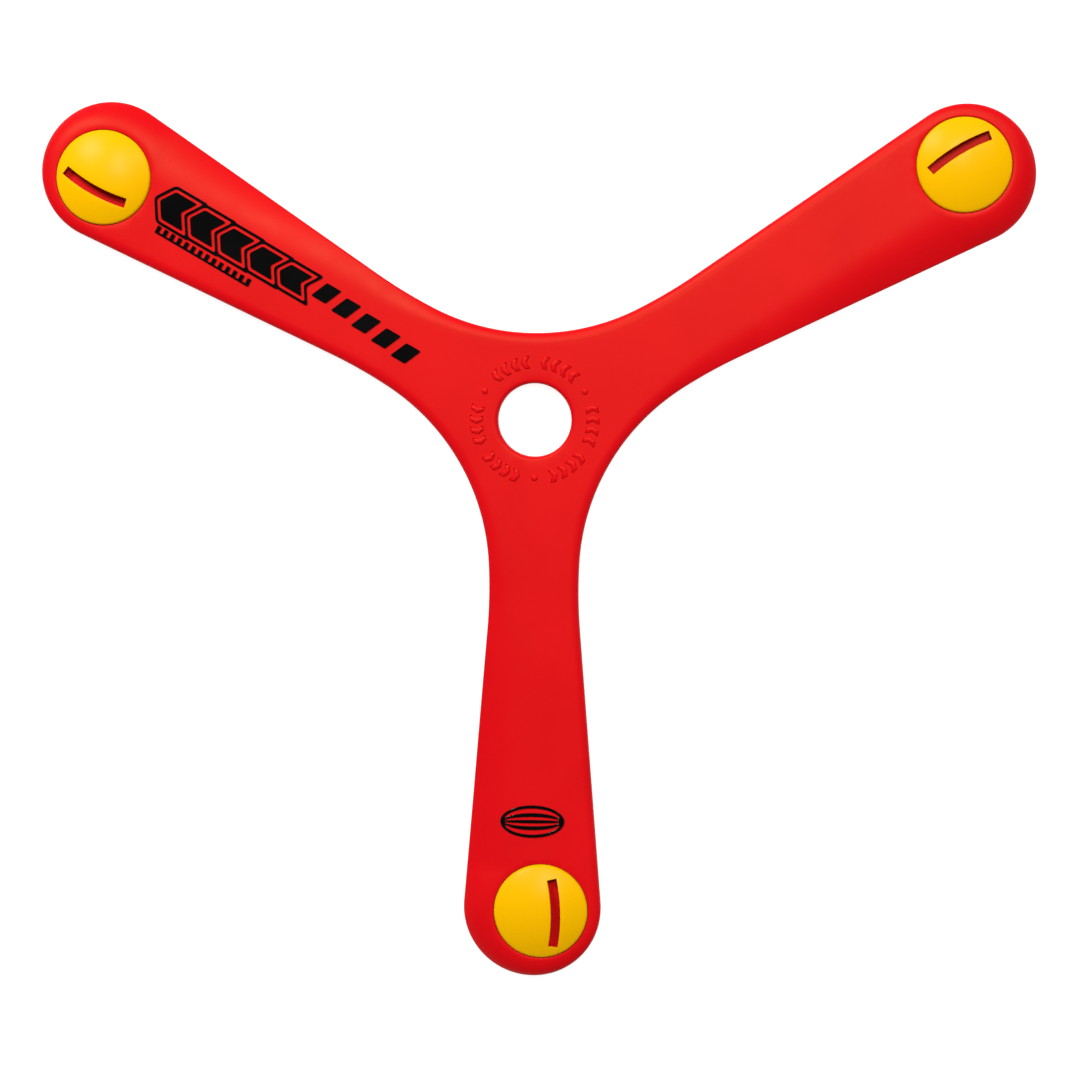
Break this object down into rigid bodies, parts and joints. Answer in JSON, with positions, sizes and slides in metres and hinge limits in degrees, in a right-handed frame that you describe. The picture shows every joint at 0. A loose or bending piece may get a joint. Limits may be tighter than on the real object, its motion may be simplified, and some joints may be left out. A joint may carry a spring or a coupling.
{
  "type": "boomerang",
  "caption": "Flat plastic boomerang with round-ended arms, a finger hole at the hub and a slotted dome whistle at each tip.",
  "frame": {"origin": "on the spin axis, at the centre of the finger hole, halfway through the blade, where the toy balances", "axes": "+Z is the spin axis and points out of the domed face; -Y runs along one arm; the other two arms point 30 degrees above +X and -X"},
  "size_m": [0.2978, 0.2636, 0.0083],
  "materials": {
    "blade_plastic": "satin moulded, fine texture",
    "cap_plastic": "smooth moulded, semi-gloss",
    "stamping_foil": "black foil over raised shapes"
  },
  "bodies": {
    "root": {"blade_body": "blade_plastic", "whistle_cap_right": "cap_plastic", "whistle_cap_left": "cap_plastic", "whistle_cap_lower": "cap_plastic", "motif_outline": "stamping_foil", "motif_chevron_1": "stamping_foil", "motif_chevron_2": "stamping_foil", "motif_chevron_3": "stamping_foil", "motif_chevron_4": "stamping_foil", "motif_chevron_5": "stamping_foil", "motif_bar_1": "stamping_foil", "motif_bar_2": "stamping_foil", "motif_bar_3": "stamping_foil", "motif_bar_4": "stamping_foil", "motif_bar_5": "stamping_foil", "motif_scale": "stamping_foil", "badge": "stamping_foil"}
  },
  "joints": []
}
